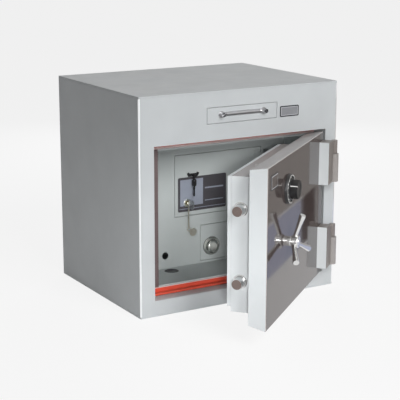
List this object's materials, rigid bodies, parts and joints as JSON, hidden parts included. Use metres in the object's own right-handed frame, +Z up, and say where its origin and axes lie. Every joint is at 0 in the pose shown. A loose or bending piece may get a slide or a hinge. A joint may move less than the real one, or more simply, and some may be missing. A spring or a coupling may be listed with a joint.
{
  "type": "drop safe",
  "caption": "Steel drop safe: a deposit drawer over a hinged door with a combination dial, spoked handle and round bolts, and locker doors inside.",
  "frame": {"origin": "centre of the cabinet's base, on the surface that it stands on", "axes": "+Z up, -Y out of the front with the door and drawer, +X to the right of someone who faces the front"},
  "size_m": [0.6, 0.8135, 0.566],
  "materials": {
    "body_paint": "satin light grey powder coat",
    "inner_paint": "matt grey-green paint",
    "door_paint": "glossy brown-grey paint",
    "door_edge": "satin pale grey paint",
    "fill": "rough grey cast filling",
    "seal": "orange strip",
    "bright_chrome": "polished chrome",
    "plain_steel": "brushed steel",
    "bolt_steel": "dark turned steel",
    "lock_brass": "dull brass",
    "dial_black": "black with white marks",
    "small_black": "black plastic",
    "name_plate": "printed metal plate, bare"
  },
  "bodies": {
    "cabinet": {"base_plate": "body_paint", "top_plate": "body_paint", "back_plate": "body_paint", "side_left": "body_paint", "side_right": "body_paint", "front_plate": "body_paint", "barrier_fill": "fill", "inner_liner": "inner_paint", "front_bulkhead": "inner_paint", "opening_lining": "body_paint", "seal_bottom": "seal", "seal_top": "seal", "drawer_sleeve": "inner_paint", "front_nameplate": "name_plate", "inner_panel": "inner_paint", "upper_locker_hinge": "plain_steel", "lower_locker_hinge": "plain_steel", "hinge_barrel_upper": "body_paint", "hinge_barrel_lower": "body_paint"},
    "main_door": {"door_slab": "door_paint", "boltwork_case": "door_edge", "door_back_cover": "door_edge", "lock_case": "plain_steel", "rack_guide": "plain_steel", "handle_escutcheon": "bright_chrome", "dial_ring": "dial_black", "door_nameplate": "name_plate", "bolt_sleeve_upper": "bright_chrome", "bolt_sleeve_lower": "bright_chrome", "dog_bolt_upper": "plain_steel", "dog_bolt_lower": "plain_steel", "hinge_block_upper": "door_edge", "hinge_block_lower": "door_edge"},
    "bolt_work": {"bolt_upper": "bolt_steel", "bolt_lower": "bolt_steel", "bolt_carrier": "plain_steel"},
    "door_handle": {"drive_pinion": "plain_steel", "handle_spindle": "plain_steel", "handle_hub": "bright_chrome", "handle_arm_1": "bright_chrome", "handle_arm_2": "bright_chrome", "handle_arm_3": "bright_chrome"},
    "dial": {"combination_dial": "dial_black", "drive_cam": "lock_brass"},
    "dial_lock_bolt": {"lock_bolt": "lock_brass"},
    "drawer": {"drawer_front": "body_paint", "drawer_tray": "plain_steel", "drawer_pull": "bright_chrome"},
    "gate": {"tray_gate": "plain_steel"},
    "upper_locker": {"upper_locker_door": "inner_paint", "label_plate": "name_plate", "key_lock_body": "bright_chrome", "key_hook": "small_black"},
    "turning_key": {"key_plug": "lock_brass", "locker_key": "plain_steel"},
    "hanging_tag": {"key_tag": "lock_brass"},
    "hanging_key": {"spare_key": "small_black"},
    "lower_locker": {"lower_locker_door": "inner_paint", "round_lock_rose": "bright_chrome"},
    "turning_knob": {"round_lock_knob": "bright_chrome"}
  },
  "joints": [
    {"name": "door_hinge", "type": "hinge", "parent": "cabinet", "child": "main_door", "pos_m": [0.274, -0.263, 0.241], "axis": [0, 0, 1], "range_deg": [-39.6, 75]},
    {"name": "handle_turn", "type": "hinge", "parent": "main_door", "child": "door_handle", "pos_m": [-0.01661, -0.46707, 0.222], "axis": [0.6374, -0.7705, 0], "range_deg": [-90, 0]},
    {"name": "bolt_slide", "type": "slide", "parent": "main_door", "child": "bolt_work", "axis": [0.7705, 0.6374, 0], "range_m": [0, 0.0283]},
    {"name": "dial_turn", "type": "hinge", "parent": "main_door", "child": "dial", "pos_m": [-0.01661, -0.46707, 0.352], "axis": [0.6374, -0.7705, 0], "continuous": true},
    {"name": "lock_bolt_slide", "type": "slide", "parent": "main_door", "child": "dial_lock_bolt", "axis": [0, 0, -1], "range_m": [0, 0.009]},
    {"name": "drawer_slide", "type": "slide", "parent": "cabinet", "child": "drawer", "axis": [0, -1, 0], "range_m": [0, 0.2]},
    {"name": "gate_swing", "type": "hinge", "parent": "drawer", "child": "gate", "pos_m": [0, 0.0105, 0.5165], "axis": [1, 0, 0], "range_deg": [0, 70]},
    {"name": "upper_locker_hinge_joint", "type": "hinge", "parent": "cabinet", "child": "upper_locker", "pos_m": [0.182, -0.055, 0.2845], "axis": [0, 0, 1], "range_deg": [0, 40]},
    {"name": "key_turn", "type": "hinge", "parent": "upper_locker", "child": "turning_key", "pos_m": [-0.059, -0.055, 0.2365], "axis": [0, -1, 0], "range_deg": [0, 90]},
    {"name": "tag_swing", "type": "hinge", "parent": "upper_locker", "child": "hanging_tag", "pos_m": [-0.059, -0.0613, 0.2365], "axis": [0, 1, 0], "range_deg": [-25, 25]},
    {"name": "spare_key_swing", "type": "hinge", "parent": "upper_locker", "child": "hanging_key", "pos_m": [-0.04, -0.0588, 0.3112], "axis": [0, 1, 0], "range_deg": [-20, 20]},
    {"name": "lower_locker_hinge_joint", "type": "hinge", "parent": "cabinet", "child": "lower_locker", "pos_m": [0.182, -0.055, 0.117], "axis": [0, 0, 1], "range_deg": [0, 50]},
    {"name": "knob_turn", "type": "hinge", "parent": "lower_locker", "child": "turning_knob", "pos_m": [0.02, -0.055, 0.105], "axis": [0, -1, 0], "range_deg": [0, 90]}
  ],
  "couplings": [
    {"joint": "bolt_slide", "follows": "handle_turn", "m_per_rad": -0.018}
  ]
}
